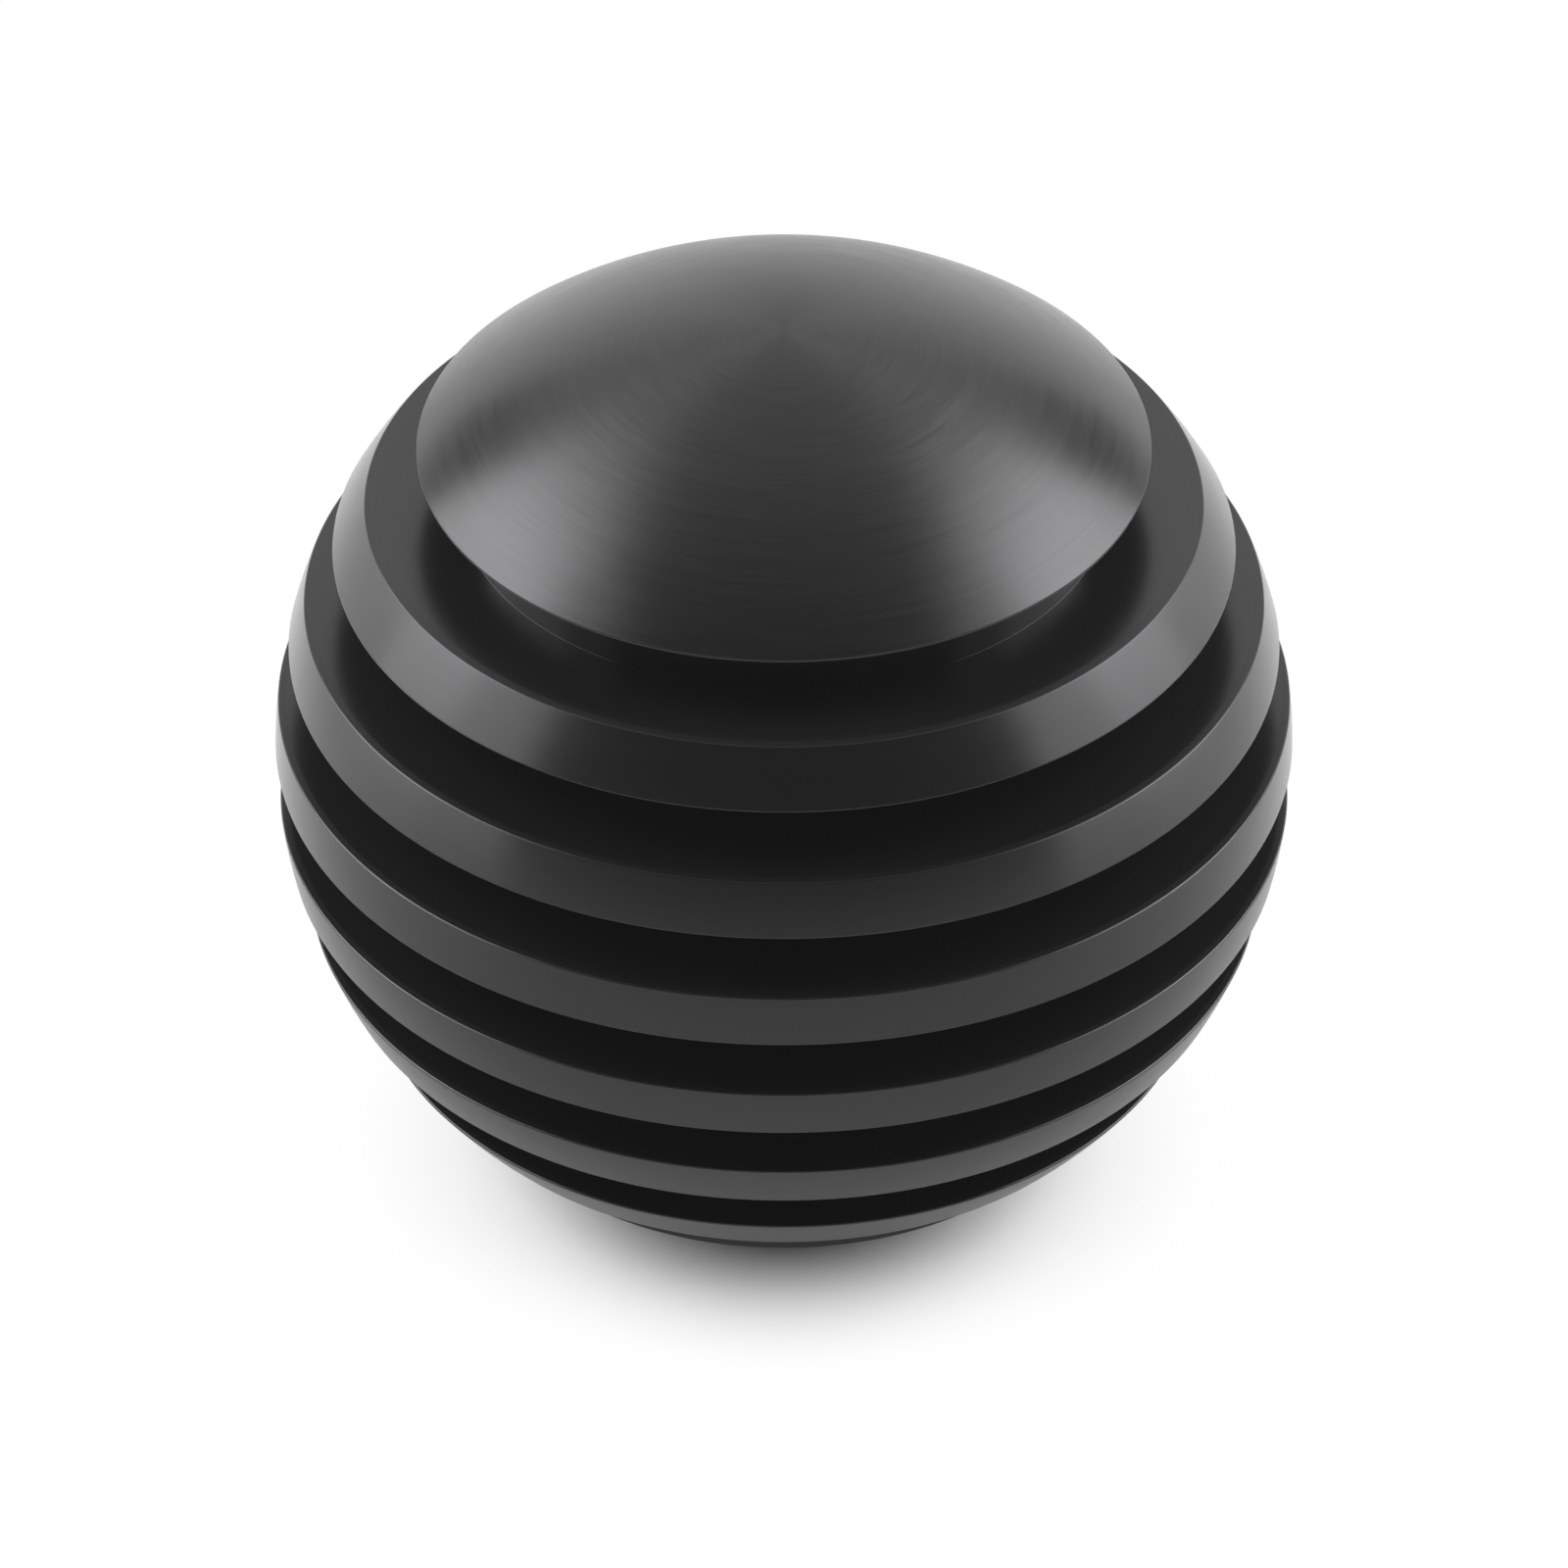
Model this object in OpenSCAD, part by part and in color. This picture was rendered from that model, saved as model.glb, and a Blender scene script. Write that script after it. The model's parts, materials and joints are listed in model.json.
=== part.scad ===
// Ball-shaped gear shift knob, turned from one billet: a flat dome over a stack of ribs.
// A threaded bush screwed into its base takes the shift lever.
// Origin at the centre of the base flat, +Z up to the dome. Millimetres.

/* [Ball] */
// Diameter of the ball that the ribs are turned to
ball_d = 50.8; // [46:0.1:60]
// Diameter of the flat that the knob stands on
base_d = 22; // [20:0.5:28]

/* [Dome] */
// Diameter over the dome's rim
rim_d = 36.1; // [34:0.1:42]
// Radius of the dome's top, which is flatter than the ball
dome_r = 27.5; // [26:0.1:60]
// Height of the narrow upright land round the dome's rim
rim_land = 0.15; // [0.05:0.05:0.5]

/* [Ribs] */
// Height of each rib
rib_h = 2.75; // [1.5:0.05:4]
// Height of each groove
groove_h = 3.1; // [1.5:0.05:4]
// Diameter of the core that the grooves are cut down to
core_d = 32; // [26:0.5:33]
// Width of the broken edges of the ribs
edge_break = 0.15; // [0.05:0.05:0.35]

/* [Lever thread] */
// Major diameter of the lever's thread
lever_d = 12; // [8:1:14]
// Pitch of the lever's thread
lever_pitch = 1.25; // [0.75:0.25:1.75]

/* [Bush] */
// Wall of the bush between the lever's thread and the bush's own outer thread, crest to crest
bush_wall = 2; // [1.6:0.1:2.5]
// Length of the bush
bush_l = 22; // [16:0.5:26]
// Depth of the bush's mouth behind the base flat
bush_recess = 0.5; // [0:0.1:1.5]
// Chamfer on both outer ends of the bush
bush_chamfer = 0.8; // [0.4:0.1:1]
// Width of the slot that a driver turns the bush by
slot_w = 2.5; // [1.5:0.1:4]
// Depth of that slot
slot_depth = 2; // [1:0.1:4]

/* [Bore] */
// Radial clearance of the bush in its bore
bush_clearance = 0.05; // [0.02:0.01:0.1]
// Radial clearance of the lever's thread at the bush's mouth and past its inner end
lever_clearance = 0.3; // [0.1:0.05:0.5]
// Depth of the drilled relief past the bush
relief_depth = 3; // [1:0.5:6]
// Chamfer round the bore's mouth
bore_chamfer = 0.6; // [0.2:0.1:0.8]

/* [Hidden] */

// Roundness of the curved faces
facets = 180;
// Length by which cutters reach past what they cut
past = 1;
// Full point angle of a twist drill
drill_angle = 118;

ball_r = ball_d / 2;
core_r = core_d / 2;
// Height of the ball's centre, from the flat that is cut off the ball
centre_h = height_on_ball(base_d / 2);

// The underside of the dome is cut where the ball is as wide as the rim.
rim_r = rim_d / 2;
rim_h = height_on_ball(rim_r);
// Height of the centre of the dome's top, which ends on the land
dome_h = rim_h + rim_land - sqrt(pow(dome_r, 2) - pow(rim_r, 2));

// Ribs fit between the dome and the height at which the ball is as narrow as the core.
rib_pitch = rib_h + groove_h;
rib_count = floor((rim_h + height_on_ball(core_r)) / rib_pitch);

// Depth of a metric thread as a share of its pitch: five eighths of its sharp triangle
thread_share = 5 / 8 * sqrt(3) / 2;
lever_minor_r = lever_d / 2 - thread_share * lever_pitch;
lever_relief_r = lever_d / 2 + lever_clearance;
mouth_chamfer = lever_relief_r - lever_minor_r;
bush_r = lever_d / 2 + bush_wall;
bore_r = bush_r + bush_clearance;
seat_h = bush_recess + bush_l;
relief_cone_h = lever_relief_r / tan(drill_angle / 2);

// Height above the ball's centre at which the ball has radius r
function height_on_ball(r) = sqrt(pow(ball_r, 2) - pow(r, 2));

// Point on the ball's outline at height z
function on_ball(z) = [height_on_ball(abs(z)), z];

// Start of a rib's broken edge on the rib's flat face at height z
function edge_start(z) = on_ball(z) - [edge_break, 0];

// Point past the ball that the broken edge runs out to; up is 1 for an upper edge, -1 for a lower
function edge_end(z, up) = 2 * on_ball(z - up * edge_break) - edge_start(z);

// Half section of a cylinder of radius r between two heights
module column(r, low, high) {
    translate([0, low]) square([r, high - low]);
}

// One rib in half section: two flat faces, broken edges and an outer face on the ball
module rib_outline(low) {
    high = low + rib_h;
    intersection() {
        circle(r = ball_r, $fn = facets);
        polygon([
            [0, low],
            edge_start(low),
            edge_end(low, -1),
            [ball_d, (low + high) / 2],
            edge_end(high, 1),
            edge_start(high),
            [0, high]
        ]);
    }
}

// The dome in half section, from the first groove up
module dome_outline() {
    intersection() {
        translate([0, dome_h]) circle(r = dome_r, $fn = facets);
        column(rim_r, rim_h, rim_h + ball_r);
    }
}

// The core in half section: a straight cylinder that the ball closes below
module core_outline() {
    intersection() {
        circle(r = ball_r, $fn = facets);
        column(core_r, -centre_h, rim_h + rim_land);
    }
}

// The blind bore in the base: the bush's bore, its mouth and the drilled relief
module bush_bore() {
    translate([0, 0, -past]) cylinder(h = seat_h + past, r = bore_r, $fn = facets);
    translate([0, 0, -past])
        cylinder(h = bore_chamfer + past, r1 = bore_r + bore_chamfer + past, r2 = bore_r, $fn = facets);
    cylinder(h = seat_h + relief_depth, r = lever_relief_r, $fn = facets);
    translate([0, 0, seat_h + relief_depth])
        cylinder(h = relief_cone_h, r1 = lever_relief_r, r2 = 0, $fn = facets);
}

// The turned billet: dome, ribs and core in one piece, bored from below
module knob_body() {
    color([0.17, 0.17, 0.18])
    difference() {
        translate([0, 0, centre_h])
            rotate_extrude($fn = facets) {
                dome_outline();
                core_outline();
                for (rib = [1 : rib_count]) rib_outline(rim_h - rib * rib_pitch);
            }
        bush_bore();
    }
}

// The steel bush: its inner end seats on the bore's shoulder, its mouth has the driver slot
module thread_bush() {
    color([0.72, 0.73, 0.74])
    translate([0, 0, bush_recess])
        difference() {
            rotate_extrude($fn = facets)
                polygon([
                    [lever_minor_r, mouth_chamfer],
                    [lever_relief_r, 0],
                    [bush_r - bush_chamfer, 0],
                    [bush_r, bush_chamfer],
                    [bush_r, bush_l - bush_chamfer],
                    [bush_r - bush_chamfer, bush_l],
                    [lever_relief_r, bush_l],
                    [lever_minor_r, bush_l - mouth_chamfer]
                ]);
            translate([-bush_r - past, -slot_w / 2, -past])
                cube([2 * (bush_r + past), slot_w, slot_depth + past]);
        }
}

knob_body();
thread_bush();
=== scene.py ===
import json
import math

import bmesh
import bpy
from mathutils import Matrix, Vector

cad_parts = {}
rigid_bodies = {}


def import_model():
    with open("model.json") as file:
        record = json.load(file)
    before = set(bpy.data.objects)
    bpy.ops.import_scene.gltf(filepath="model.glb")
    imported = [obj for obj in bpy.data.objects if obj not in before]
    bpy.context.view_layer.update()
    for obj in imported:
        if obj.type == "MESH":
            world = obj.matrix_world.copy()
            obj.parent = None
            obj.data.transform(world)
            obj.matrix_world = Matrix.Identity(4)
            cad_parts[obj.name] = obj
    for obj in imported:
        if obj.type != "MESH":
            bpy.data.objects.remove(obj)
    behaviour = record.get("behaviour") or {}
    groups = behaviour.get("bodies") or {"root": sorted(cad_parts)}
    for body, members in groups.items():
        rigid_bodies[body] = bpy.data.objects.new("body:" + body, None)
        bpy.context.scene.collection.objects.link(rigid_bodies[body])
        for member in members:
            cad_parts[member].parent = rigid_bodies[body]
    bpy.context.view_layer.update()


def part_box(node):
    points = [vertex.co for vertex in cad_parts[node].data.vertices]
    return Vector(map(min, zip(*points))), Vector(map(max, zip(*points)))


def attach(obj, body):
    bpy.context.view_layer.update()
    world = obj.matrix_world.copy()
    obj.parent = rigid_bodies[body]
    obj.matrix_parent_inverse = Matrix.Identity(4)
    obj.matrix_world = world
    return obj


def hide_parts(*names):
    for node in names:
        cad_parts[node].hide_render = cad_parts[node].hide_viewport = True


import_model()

mm = 0.001
welded = 1e-4 * mm  # vertices closer than this become one
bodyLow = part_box("knob_body")[0]
bushLow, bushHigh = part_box("thread_bush")


# A socket that can be used in an expression: each operator adds the Math node that it stands for
class Wire:
    def __init__(self, graph, socket):
        self.graph = graph
        self.socket = socket

    def math(self, operation, *others):
        values = dict(enumerate((self, *others)))
        return self.graph.add("ShaderNodeMath", {"operation": operation}, values)

    def __add__(self, other):
        return self.math("ADD", other)

    def __sub__(self, other):
        return self.math("SUBTRACT", other)

    def __mul__(self, other):
        return self.math("MULTIPLY", other)

    def __truediv__(self, other):
        return self.math("DIVIDE", other)

    def __rsub__(self, other):
        return (self * -1) + other

    __radd__ = __add__
    __rmul__ = __mul__

    def clamped(self):
        return self.math("MAXIMUM", 0.0).math("MINIMUM", 1.0)


# A material's or the world's node tree
class Graph:
    def __init__(self, owner):
        owner.use_nodes = True
        self.tree = owner.node_tree
        self.tree.nodes.clear()

    def add(self, kind, settings=None, inputs=None, output=0):
        node = self.tree.nodes.new(kind)
        for name, value in (settings or {}).items():
            setattr(node, name, value)
        for key, value in (inputs or {}).items():
            if isinstance(value, Wire):
                self.tree.links.new(value.socket, node.inputs[key])
            else:
                node.inputs[key].default_value = value
        if isinstance(output, tuple):
            return [Wire(self, node.outputs[name]) for name in output]
        return Wire(self, node.outputs[output]) if len(node.outputs) else node


def newObject(name, mesh, material):
    item = bpy.data.objects.new(name, mesh)
    bpy.context.scene.collection.objects.link(item)
    mesh.materials.append(material)
    return item


def unit(x, y):
    length = math.hypot(x, y)
    return x / length, y / length


def leftOf(direction):  # the outward side, when the outline runs down the outside from the top
    return -direction[1], direction[0]


# A turned outline from corners (radius, height, ease): each corner is rounded by its ease.
# spheres[i] = (centre height, radius, steps) makes the stretch from corner i to i + 1 an arc.
# Each of its points is a place and the way the surface faces there, both as (radius, height).
def turnedOutline(corners, spheres, easeSteps):
    def heading(index, at):  # direction of stretch index at one of its ends
        start, end = corners[index], corners[index + 1]
        if index in spheres:
            centre = spheres[index][0]
            outward = unit(at[0], at[1] - centre)
            return outward[1], -outward[0]
        return unit(end[0] - start[0], end[1] - start[1])

    points = []
    last = len(corners) - 1
    for i, (r, z, ease) in enumerate(corners):
        before = heading(i - 1, corners[i]) if i > 0 else None
        after = heading(i, corners[i]) if i < last else None
        if before is None or after is None:
            points.append(((r, z), leftOf(after or before)))
        else:
            turn = math.atan2(before[0] * after[1] - before[1] * after[0],
                              before[0] * after[0] + before[1] * after[1])
            reach = ease * math.tan(abs(turn) / 2)
            side = 1 if turn < 0 else -1  # 1 on an outer corner, -1 in an inner one
            normal = leftOf(before)
            start = (r - before[0] * reach, z - before[1] * reach)
            centre = (start[0] - side * normal[0] * ease, start[1] - side * normal[1] * ease)
            for step in range(easeSteps + 1):
                angle = turn * step / easeSteps
                facing = (normal[0] * math.cos(angle) - normal[1] * math.sin(angle),
                          normal[0] * math.sin(angle) + normal[1] * math.cos(angle))
                points.append(((centre[0] + side * facing[0] * ease,
                                centre[1] + side * facing[1] * ease), facing))
        if i in spheres:
            centreHeight, radius, steps = spheres[i]
            end = corners[i + 1]
            angles = [math.atan2(p[1] - centreHeight, p[0]) for p in ((r, z), end)]
            for step in range(1, steps):
                angle = angles[0] + (angles[1] - angles[0]) * step / steps
                facing = (math.cos(angle), math.sin(angle))
                points.append(((radius * facing[0], centreHeight + radius * facing[1]), facing))
    return points


# Turns an outline round the Z axis. Points on the axis become one vertex.
def revolve(name, outline, segments):
    spokes = [(math.cos(2 * math.pi * s / segments), math.sin(2 * math.pi * s / segments))
              for s in range(segments)]
    onAxis = 1e-9
    vertices, normals, rings = [], [], []
    for (r, z), (facingOut, facingUp) in outline:
        first = len(vertices)
        if r < onAxis:
            rings.append([first] * segments)
            vertices.append((0, 0, z))
            normals.append((0, 0, math.copysign(1, facingUp)))
        else:
            rings.append([first + s for s in range(segments)])
            vertices += [(r * c, r * s, z) for c, s in spokes]
            normals += [(facingOut * c, facingOut * s, facingUp) for c, s in spokes]
    faces = []
    for upper, lower in zip(rings, rings[1:]):
        for s in range(segments):
            t = (s + 1) % segments
            loop = [upper[s], lower[s], lower[t], upper[t]]
            faces.append(list(dict.fromkeys(loop)))
    mesh = bpy.data.meshes.new(name)
    mesh.from_pydata(vertices, [], faces)
    mesh.shade_smooth()
    mesh.normals_split_custom_set_from_vertices(normals)
    mesh.validate()
    return mesh


# Knob body: black anodised billet

knobBody = {
    "ballDiameter": 50.8 * mm,
    "baseDiameter": 22 * mm,
    "rimDiameter": 36.1 * mm,
    "rimLand": 0.15 * mm,
    "domeRadius": 27.5 * mm,
    "ribHeight": 2.75 * mm,
    "grooveHeight": 3.1 * mm,
    "coreDiameter": 32 * mm,
    "ribCount": 6,
    "edgeEase": 0.1 * mm,  # rounding of the edges of the ribs and the base
    "rimEase": 0.025 * mm,  # of the dome's rim
    "mouthEase": 0.05 * mm,  # of the bore's mouth
    "rootEase": 0.02 * mm,  # left by the tool's nose at the bottom of a groove
    "boreClearance": 0.05 * mm,
    "boreChamfer": 0.6 * mm,
    "reliefRadius": 6.3 * mm,
    "reliefDepth": 3 * mm,
    "drillAngle": math.radians(118),
    "segments": 320,
    "easeSteps": 3,
    "domeSteps": 36,
    "ribSteps": 4,
    "shoulderSteps": 8,
}


# Height from the ball's centre to where the ball is as wide as a diameter
def riseOnBall(size, diameter):
    return math.sqrt(size["ballDiameter"] ** 2 - diameter ** 2) / 2


def ballHeight(size):
    return bodyLow.z + riseOnBall(size, size["baseDiameter"])


def rimHeight(size):
    return ballHeight(size) + riseOnBall(size, size["rimDiameter"])


def bodyOutline(size):
    ball = size["ballDiameter"] / 2
    core = size["coreDiameter"] / 2
    rim = size["rimDiameter"] / 2
    base = size["baseDiameter"] / 2
    edge, root = size["edgeEase"], size["rootEase"]
    centre = ballHeight(size)
    underside = rimHeight(size)
    landTop = underside + size["rimLand"]
    dome = landTop - math.sqrt(size["domeRadius"] ** 2 - rim ** 2)

    def ballRadius(z):
        return math.sqrt(ball ** 2 - (z - centre) ** 2)

    corners = [
        (0, dome + size["domeRadius"], 0),
        (rim, landTop, size["rimEase"]),
        (rim, underside, size["rimEase"]),
    ]
    spheres = {0: (dome, size["domeRadius"], size["domeSteps"])}
    top = underside
    for rib in range(size["ribCount"]):
        high = top - size["grooveHeight"]
        low = high - size["ribHeight"]
        corners += [(core, top, root), (core, high, root), (ballRadius(high), high, edge)]
        spheres[len(corners) - 1] = (centre, ball, size["ribSteps"])
        corners += [(ballRadius(low), low, edge)]
        top = low
    shoulder = centre - riseOnBall(size, size["coreDiameter"])
    bore = bushHigh.x + size["boreClearance"]
    seat = bushHigh.z
    relief = size["reliefRadius"]
    reliefTop = seat + size["reliefDepth"]
    tip = reliefTop + relief / math.tan(size["drillAngle"] / 2)
    corners += [(core, top, root), (core, shoulder, edge)]
    spheres[len(corners) - 1] = (centre, ball, size["shoulderSteps"])
    corners += [
        (base, bodyLow.z, edge),
        (bore + size["boreChamfer"], bodyLow.z, size["mouthEase"]),
        (bore, bodyLow.z + size["boreChamfer"], size["mouthEase"]),
        (bore, seat, root),
        (relief, seat, root),
        (relief, reliefTop, root),
        (0, tip, 0),
    ]
    return turnedOutline(corners, spheres, size["easeSteps"])


# Streaks of the turning tool: long round the axis, narrow across it.
# They are noise from 0 to 1, mostly near 0.5.
def turningStreaks(graph, place, width, runs):
    x, y, z = graph.add("ShaderNodeSeparateXYZ", {}, {"Vector": place}, ("X", "Y", "Z"))
    radius = (x * x + y * y).math("SQRT")
    spot = graph.add("ShaderNodeCombineXYZ", {}, {
        "X": x / radius * runs,
        "Y": y / radius * runs,
        "Z": radius / width,
    })
    return graph.add("ShaderNodeTexNoise", {"noise_dimensions": "4D"}, {
        "Vector": spot,
        "W": z / width,
        "Scale": 1.0,
        "Detail": 2.0,
    }, "Fac")


def ramp(graph, value, low, high):  # 0 below low, 1 above high, smooth between
    return graph.add("ShaderNodeMapRange", {"interpolation_type": "SMOOTHSTEP"}, {
        "Value": value,
        "From Min": low,
        "From Max": high,
    }, "Result")


anodised = {
    "colour": (0.022, 0.022, 0.0228),
    "metallic": 0.8,
    "domeRoughness": 0.31,
    "ribRoughness": 0.30,
    "grooveRoughness": 0.2,
    "anisotropy": 0.72,
    "turning": 0.25,  # quarter turn, so that highlights spread across the turning marks
    "paintedGlow": 0.006,  # painted light: a faint even glow of the whole surface, so that it never looks quite black, not even down in the grooves
    "runs": 2.6,  # the higher, the shorter the streaks
    "bandWidth": 0.45 * mm,
    "streakWidth": 0.09 * mm,
    "ribShare": 0.35,  # how much of the dome's streaks the ribs have
    "colourSwing": 0.3,
    "roughnessSwing": 0.075,
    "streakDepth": 0.0007 * mm,
    "grainWidth": 0.11 * mm,
    "grainDepth": 0.0005 * mm,
    "domeStart": 0.02 * mm,  # how far either side of the rim's underside the dome's finish sets in
    "ribStart": 0.5 * mm,  # the ribs' finish sets in between these depths under the ball
    "ribFull": 0.3 * mm,
}


def anodisedMaterial(look, size):
    material = bpy.data.materials.new("anodised_black")
    graph = Graph(material)
    place = graph.add("ShaderNodeTexCoord", {}, {}, "Object")
    ball = size["ballDiameter"] / 2
    underside = rimHeight(size)

    # the outer faces are the dome and all that lies on the ball; the rest is groove
    x, y, z = graph.add("ShaderNodeSeparateXYZ", {}, {"Vector": place}, ("X", "Y", "Z"))
    rise = z - ballHeight(size)
    fromCentre = (x * x + y * y + rise * rise).math("SQRT")
    dome = ramp(graph, z, underside - look["domeStart"], underside + look["domeStart"])
    ribs = ramp(graph, fromCentre, ball - look["ribStart"], ball - look["ribFull"]) * (1 - dome)

    share = dome * (1 - look["ribShare"]) + look["ribShare"]
    bands = (turningStreaks(graph, place, look["bandWidth"], look["runs"]) - 0.5) * share
    streaks = (turningStreaks(graph, place, look["streakWidth"], look["runs"]) - 0.5) * share
    grain = graph.add("ShaderNodeTexNoise", {}, {
        "Vector": place,
        "Scale": 1 / look["grainWidth"],
        "Detail": 3.0,
    }, "Fac")
    finish = (look["grooveRoughness"]
              + (look["domeRoughness"] - look["grooveRoughness"]) * dome
              + (look["ribRoughness"] - look["grooveRoughness"]) * ribs)
    bright = tuple(level * (1 + look["colourSwing"]) for level in look["colour"])
    dark = tuple(level * (1 - look["colourSwing"]) for level in look["colour"])
    colour = graph.add("ShaderNodeMix", {"data_type": "RGBA"}, {
        0: (bands * 0.5 + streaks + 0.5).clamped(),
        6: (*dark, 1),
        7: (*bright, 1),
    }, 2)
    relief = graph.add("ShaderNodeBump", {}, {
        "Height": streaks * look["streakDepth"] + grain * look["grainDepth"],
        "Distance": 1.0,
    })
    shader = graph.add("ShaderNodeBsdfPrincipled", {}, {
        "Base Color": colour,
        "Metallic": look["metallic"],
        "Roughness": finish + (bands + streaks) * look["roughnessSwing"],
        "Anisotropic": look["anisotropy"],
        "Anisotropic Rotation": look["turning"],
        "Normal": relief,
        # painted light: a faint white glow over the whole knob, so that its black is never quite black
        "Emission Color": (1, 1, 1, 1),
        "Emission Strength": look["paintedGlow"],
    })
    graph.add("ShaderNodeOutputMaterial", {}, {"Surface": shader})
    return material


body = newObject("body_turned", revolve("body_turned", bodyOutline(knobBody), knobBody["segments"]),
                 anodisedMaterial(anodised, knobBody))
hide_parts("knob_body")
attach(body, "root")
print("body: turned", len(body.data.polygons), "faces")


# Thread bush: steel, screwed into the base, with the lever's thread inside

threadBush = {
    "leverRadius": 6 * mm,  # over the lever's thread
    "leverPitch": 1.25 * mm,
    "outerPitch": 1 * mm,
    "mouthRadius": 6.3 * mm,
    "chamfer": 0.8 * mm,
    "slotWidth": 2.5 * mm,
    "slotDepth": 2 * mm,
    "leverFlats": (1 / 4, 1 / 8),  # crest and root, as shares of the pitch
    "outerFlats": (1 / 8, 1 / 4),
    "leverShare": 5 / 8,  # depth, as a share of the thread's full triangle
    "outerShare": 17 / 24,
    "cutterPast": 1 * mm,
    "sharpAngle": math.radians(25),
    "segments": 120,
}
sharpV = math.sqrt(3) / 2  # height of a 60 degree thread's full triangle, for each unit of pitch


# How far down a thread's flank a place along its pitch is: 0 on the crest, 1 at the root in its middle
def flankDepth(place, crest, root):
    flank = (1 - crest - root) / 2
    return min(1, max(0, (root / 2 + flank - abs(place - 0.5)) / flank))


# Rows along a pitch: the flats' corners, and steps down the flanks
def flankRows(crest, root):
    flank = (1 - crest - root) / 2
    rows = [0, crest / 2, crest / 2 + flank / 3, crest / 2 + 2 * flank / 3, (1 - root) / 2, 0.5]
    return rows + [1 - row for row in rows[4:0:-1]]


# A threaded wall: rows of vertices wind up the helix from low to high.
# Past the ends they fall on the wall's rims.
def threadedWall(mesh, pitch, low, high, flats, radiusAt, segments):
    crest, root = flats
    rows = flankRows(crest, root)
    turns = math.ceil((high - low) / pitch) + 1
    grid = []
    for turn in range(-1, turns):
        for place in rows:
            line = []
            for s in range(segments + 1):
                z = low + pitch * (turn + place + s / segments)
                z = min(high, max(low, z))
                radius = radiusAt(z, flankDepth(place, crest, root))
                angle = 2 * math.pi * s / segments
                line.append(mesh.verts.new((radius * math.cos(angle), radius * math.sin(angle), z)))
            grid.append(line)
    for lower, upper in zip(grid, grid[1:]):
        for s in range(segments):
            mesh.faces.new((lower[s], lower[s + 1], upper[s + 1], upper[s]))
    return grid[0][:segments], grid[-1][:segments]


def bushMesh(size):
    low, high = bushLow.z, bushHigh.z
    outer = bushHigh.x
    leverDepth = size["leverShare"] * sharpV * size["leverPitch"]
    outerDepth = size["outerShare"] * sharpV * size["outerPitch"]
    minor = size["leverRadius"] - leverDepth

    def innerRadius(z, depth):
        return max(minor + leverDepth * depth, size["mouthRadius"] - min(z - low, high - z))

    def outerRadius(z, depth):
        return min(outer - outerDepth * depth, outer - size["chamfer"] + min(z - low, high - z))

    build = bmesh.new()
    segments = size["segments"]
    inside = threadedWall(build, size["leverPitch"], low, high, size["leverFlats"], innerRadius, segments)
    outside = threadedWall(build, size["outerPitch"], low, high, size["outerFlats"], outerRadius, segments)
    for innerRim, outerRim in zip(inside, outside):
        for s in range(segments):
            t = (s + 1) % segments
            build.faces.new((innerRim[s], outerRim[s], outerRim[t], innerRim[t]))
    bmesh.ops.remove_doubles(build, verts=build.verts, dist=welded)
    bmesh.ops.dissolve_degenerate(build, edges=build.edges, dist=welded)
    bmesh.ops.recalc_face_normals(build, faces=build.faces)
    mesh = bpy.data.meshes.new("bush_threaded")
    build.to_mesh(mesh)
    build.free()
    return mesh


def slotCutter(size):
    build = bmesh.new()
    bmesh.ops.create_cube(build, size=1)
    below = size["cutterPast"]
    reach = 2 * (bushHigh.x + below)
    tall = size["slotDepth"] + below
    bmesh.ops.scale(build, verts=build.verts, vec=(reach, size["slotWidth"], tall))
    bmesh.ops.translate(build, verts=build.verts, vec=(0, 0, bushLow.z - below + tall / 2))
    mesh = bpy.data.meshes.new("slot_cutter")
    build.to_mesh(mesh)
    build.free()
    return mesh


# Cuts the piece with a mesh, and keeps the result as the piece's own mesh
def cutWith(piece, cutter):
    tool = bpy.data.objects.new(cutter.name, cutter)
    bpy.context.scene.collection.objects.link(tool)
    change = piece.modifiers.new("cut", "BOOLEAN")
    change.operation = "DIFFERENCE"
    change.solver = "EXACT"
    change.object = tool
    bpy.context.view_layer.update()
    result = bpy.data.meshes.new_from_object(piece.evaluated_get(bpy.context.evaluated_depsgraph_get()))
    piece.modifiers.clear()
    old, piece.data = piece.data, result
    result.name = old.name
    bpy.data.objects.remove(tool)
    bpy.data.meshes.remove(old)
    bpy.data.meshes.remove(cutter)


steel = {
    "colour": (0.55, 0.56, 0.57),
    "boreColour": (0.33, 0.33, 0.325),  # darker in the bore, on the lever's thread
    "roughness": 0.27,
    "roughnessSwing": 0.14,
    "runs": 3.0,
    "bandWidth": 0.35 * mm,
    "streakWidth": 0.06 * mm,
    "streakDepth": 0.0015 * mm,
    "boreDarkDepth": 0.5 * mm,  # down from the lever's thread to where the steel is darkest
}


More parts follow.
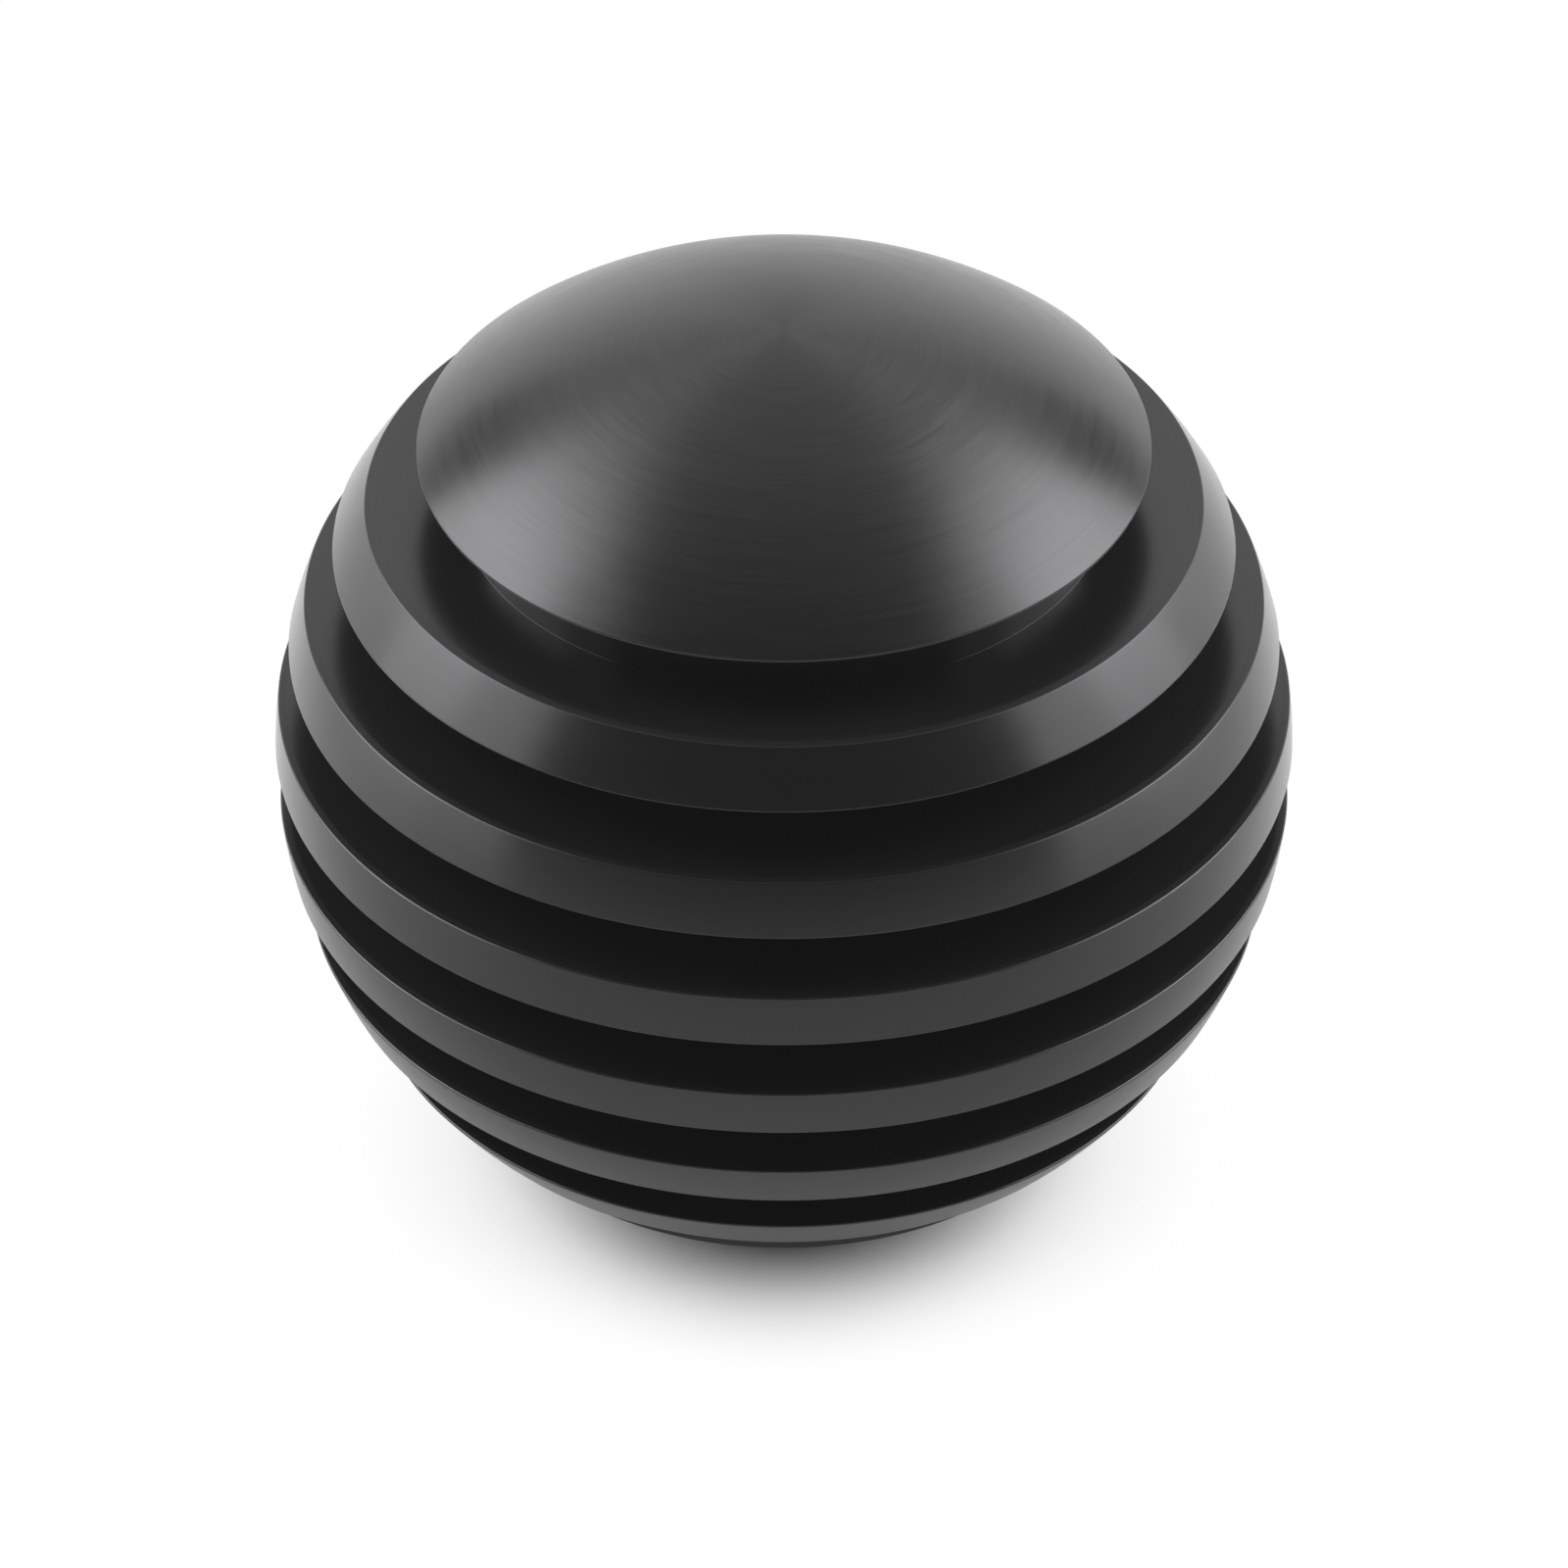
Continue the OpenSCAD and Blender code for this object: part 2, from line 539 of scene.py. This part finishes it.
def steelMaterial(look, size):
    material = bpy.data.materials.new("turned_steel")
    graph = Graph(material)
    place = graph.add("ShaderNodeTexCoord", {}, {}, "Object")
    x, y = graph.add("ShaderNodeSeparateXYZ", {}, {"Vector": place}, ("X", "Y"))
    radius = (x * x + y * y).math("SQRT")
    bands = turningStreaks(graph, place, look["bandWidth"], look["runs"]) - 0.5
    streaks = turningStreaks(graph, place, look["streakWidth"], look["runs"]) - 0.5
    # the steel is darker inside the bore, lighter from its mouth outwards
    outsideBore = ramp(graph, radius, size["leverRadius"] - look["boreDarkDepth"], size["mouthRadius"])
    colour = graph.add("ShaderNodeMix", {"data_type": "RGBA"}, {
        0: (outsideBore + bands * 0.5).clamped(),
        6: (*look["boreColour"], 1),
        7: (*look["colour"], 1),
    }, 2)
    relief = graph.add("ShaderNodeBump", {}, {
        "Height": streaks * look["streakDepth"],
        "Distance": 1.0,
    })
    shader = graph.add("ShaderNodeBsdfPrincipled", {}, {
        "Base Color": colour,
        "Metallic": 1.0,
        "Roughness": look["roughness"] + (bands + streaks) * look["roughnessSwing"],
        "Normal": relief,
    })
    graph.add("ShaderNodeOutputMaterial", {}, {"Surface": shader})
    return material


bush = newObject("bush_threaded", bushMesh(threadBush), steelMaterial(steel, threadBush))
cutWith(bush, slotCutter(threadBush))
bush.data.shade_smooth()
bush.data.set_sharp_from_angle(angle=threadBush["sharpAngle"])
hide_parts("thread_bush")
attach(bush, "root")
print("bush: threaded and slotted", len(bush.data.polygons), "faces")


# Floor, light and camera

studio = {
    "floorSize": 6.0,
    "floorAlbedo": 0.55,
    "ambient": 0.11,
    "paintedLightStart": 0.013,  # from here outwards the floor, where seen directly, blends into the white backdrop: painted light over the knob's shadow
    "paintedLightEnd": 0.025,
}


def isSeenDirectly(graph):  # 1 for what the picture shows, 0 for light and reflections
    return graph.add("ShaderNodeLightPath", {}, {}, "Is Camera Ray")


def floorMaterial(look):
    material = bpy.data.materials.new("floor_white")
    graph = Graph(material)
    albedo = look["floorAlbedo"]
    place = graph.add("ShaderNodeTexCoord", {}, {}, "Object")
    x, y = graph.add("ShaderNodeSeparateXYZ", {}, {"Vector": place}, ("X", "Y"))
    # painted light: where seen directly, glowing white is painted over the lit floor and the knob's shadow
    # on it, more of it further out from the knob; light and reflections still meet the lit floor
    paintedLightShare = ramp(graph, (x * x + y * y).math("SQRT"), look["paintedLightStart"], look["paintedLightEnd"])
    lit = graph.add("ShaderNodeBsdfDiffuse", {}, {"Color": (albedo, albedo, albedo, 1)})
    backdrop = graph.add("ShaderNodeEmission", {}, {"Color": (1, 1, 1, 1)})
    white = graph.add("ShaderNodeMixShader", {}, {0: paintedLightShare * isSeenDirectly(graph), 1: lit, 2: backdrop})
    clear = graph.add("ShaderNodeBsdfTransparent")
    below = graph.add("ShaderNodeNewGeometry", {}, {}, "Backfacing")
    shader = graph.add("ShaderNodeMixShader", {}, {0: below, 1: white, 2: clear})
    graph.add("ShaderNodeOutputMaterial", {}, {"Surface": shader})
    return material


def makeFloor(look):
    half = look["floorSize"] / 2
    mesh = bpy.data.meshes.new("floor")
    corners = [(-half, -half, 0), (half, -half, 0), (half, half, 0), (-half, half, 0)]
    mesh.from_pydata(corners, [], [(0, 1, 2, 3)])
    floor = newObject("floor", mesh, floorMaterial(look))
    return floor


# A dim room, in front of a white backdrop
def makeWorld(level):
    world = bpy.data.worlds.new("dim_room")
    bpy.context.scene.world = world
    graph = Graph(world)
    dim, white = (graph.add("ShaderNodeBackground", {}, {"Color": (1, 1, 1, 1), "Strength": strength})
                  for strength in (level, 1))
    shader = graph.add("ShaderNodeMixShader", {}, {0: isSeenDirectly(graph), 1: dim, 2: white})
    graph.add("ShaderNodeOutputWorld", {}, {"Surface": shader})


# A small tent of soft panels round the knob, open towards the camera.
# Each side panel has a twin across the knob.
# A panel's extent is given along Y and up for the sides, across X and up at the rear, along Y for the roof.
tent = {
    "wall": 0.28,
    "rear": 0.42,
    "roof": 0.5,
    "sides": [
        {"name": "box_low", "along": (-0.04, 0.2), "up": (0.2, 0.33), "radiance": 13.9},
        {"name": "box_high", "along": (-0.04, 0.2), "up": (0.33, 0.5), "radiance": 6.4},
        {"name": "box_foot", "along": (-0.04, 0.2), "up": (0.1, 0.2), "radiance": 9.2},
        {"name": "strip_front", "along": (-0.16, -0.04), "up": (0.002, 0.1), "radiance": 3.8},
        {"name": "strip_middle", "along": (-0.04, 0.08), "up": (0.002, 0.1), "radiance": 5.5},
        {"name": "strip_back", "along": (0.08, 0.42), "up": (0.002, 0.1), "radiance": 2.6},
        {"name": "wing_front", "along": (-0.16, -0.04), "up": (0.1, 0.3), "radiance": 4.4},
        {"name": "wing_high", "along": (-0.16, -0.04), "up": (0.3, 0.5), "radiance": 2.6},
        {"name": "wing_back", "along": (0.2, 0.42), "up": (0.25, 0.5), "radiance": 2.2},
    ],
    "rears": [
        {"name": "rear_low", "across": (-0.28, 0.28), "up": (0.002, 0.22), "radiance": 1.65},
        {"name": "rear_high", "across": (-0.28, 0.28), "up": (0.22, 0.5), "radiance": 1.6},
    ],
    "roofs": [
        {"name": "roof_front", "along": (-0.2, 0.05), "radiance": 0.38},
        {"name": "roof_back", "along": (0.05, 0.42), "radiance": 1.15},
    ],
    "boreLight": {"depth": 0.15, "size": 0.1, "radiance": 4.0},
    "fillDistance": 0.5,
    "floorFills": [
        {"name": "fill_left", "azimuth": -50, "elevation": 45, "size": 0.24, "radiance": 5.1},
        {"name": "fill_right", "azimuth": 50, "elevation": 45, "size": 0.24, "radiance": 5.1},
    ],
}


def makePanel(name, centre, facing, width, height, radiance):
    light = bpy.data.lights.new(name, "AREA")
    light.shape = "RECTANGLE"
    light.size = width
    light.size_y = height
    light.energy = radiance * math.pi * width * height
    item = bpy.data.objects.new(name, light)
    bpy.context.scene.collection.objects.link(item)
    item.location = centre
    item.rotation_euler = (-Vector(facing)).to_track_quat("Z", "Y").to_euler()
    item.visible_camera = False
    return item


def collectionOf(name, items):
    collection = bpy.data.collections.new(name)
    for item in items:
        collection.objects.link(item)
    return collection


def makeTent(size, floor):
    for panel in size["sides"]:
        along, up = panel["along"], panel["up"]
        for side in (-1, 1):
            makePanel(panel["name"], (side * size["wall"], sum(along) / 2, sum(up) / 2), (-side, 0, 0),
                      along[1] - along[0], up[1] - up[0], panel["radiance"])
    for panel in size["rears"]:
        across, up = panel["across"], panel["up"]
        makePanel(panel["name"], (sum(across) / 2, size["rear"], sum(up) / 2), (0, -1, 0),
                  across[1] - across[0], up[1] - up[0], panel["radiance"])
    for panel in size["roofs"]:
        along = panel["along"]
        makePanel(panel["name"], (0, sum(along) / 2, size["roof"]), (0, 0, -1),
                  2 * size["wall"], along[1] - along[0], panel["radiance"])

    # these brighten the floor round the knob, and are linked to the floor alone
    floorOnly = collectionOf("floor_only", [floor])
    for fill in size["floorFills"]:
        azimuth, elevation = math.radians(fill["azimuth"]), math.radians(fill["elevation"])
        away = Vector((math.sin(azimuth) * math.cos(elevation),
                       -math.cos(azimuth) * math.cos(elevation),
                       math.sin(elevation)))
        light = makePanel(fill["name"], away * size["fillDistance"], -away, fill["size"], fill["size"],
                          fill["radiance"])
        light.light_linking.receiver_collection = floorOnly

    # this one shines up into the bore, past the floor and on the bush alone
    below = size["boreLight"]
    light = makePanel("bore_light", (0, 0, -below["depth"]), (0, 0, 1), below["size"], below["size"],
                      below["radiance"])
    light.light_linking.receiver_collection = collectionOf("bush_only", [bush])
    light.light_linking.blocker_collection = collectionOf("knob_only", [body, bush])


camera = {
    "lens": 278.5,
    "sensor": 36,
    "distance": 606.6 * mm,
    "elevation": math.radians(36.39),
    "pitch": math.radians(36.6),
    "nearest": 0.01,
    "farthest": 20,
}


def makeCamera(size, target):
    lens = bpy.data.cameras.new("camera")
    lens.sensor_width = size["sensor"]
    lens.lens = size["lens"]
    lens.clip_start = size["nearest"]
    lens.clip_end = size["farthest"]
    item = bpy.data.objects.new("camera", lens)
    bpy.context.scene.collection.objects.link(item)
    item.location = target + size["distance"] * Vector((0, -math.cos(size["elevation"]),
                                                        math.sin(size["elevation"])))
    item.rotation_euler = (math.pi / 2 - size["pitch"], 0, 0)
    bpy.context.scene.camera = item


floor = makeFloor(studio)
makeWorld(studio["ambient"])
makeTent(tent, floor)
makeCamera(camera, Vector((0, 0, ballHeight(knobBody))))
bpy.context.scene.view_settings.view_transform = "Standard"
print("studio: floor,", len(bpy.data.lights), "lights and camera")
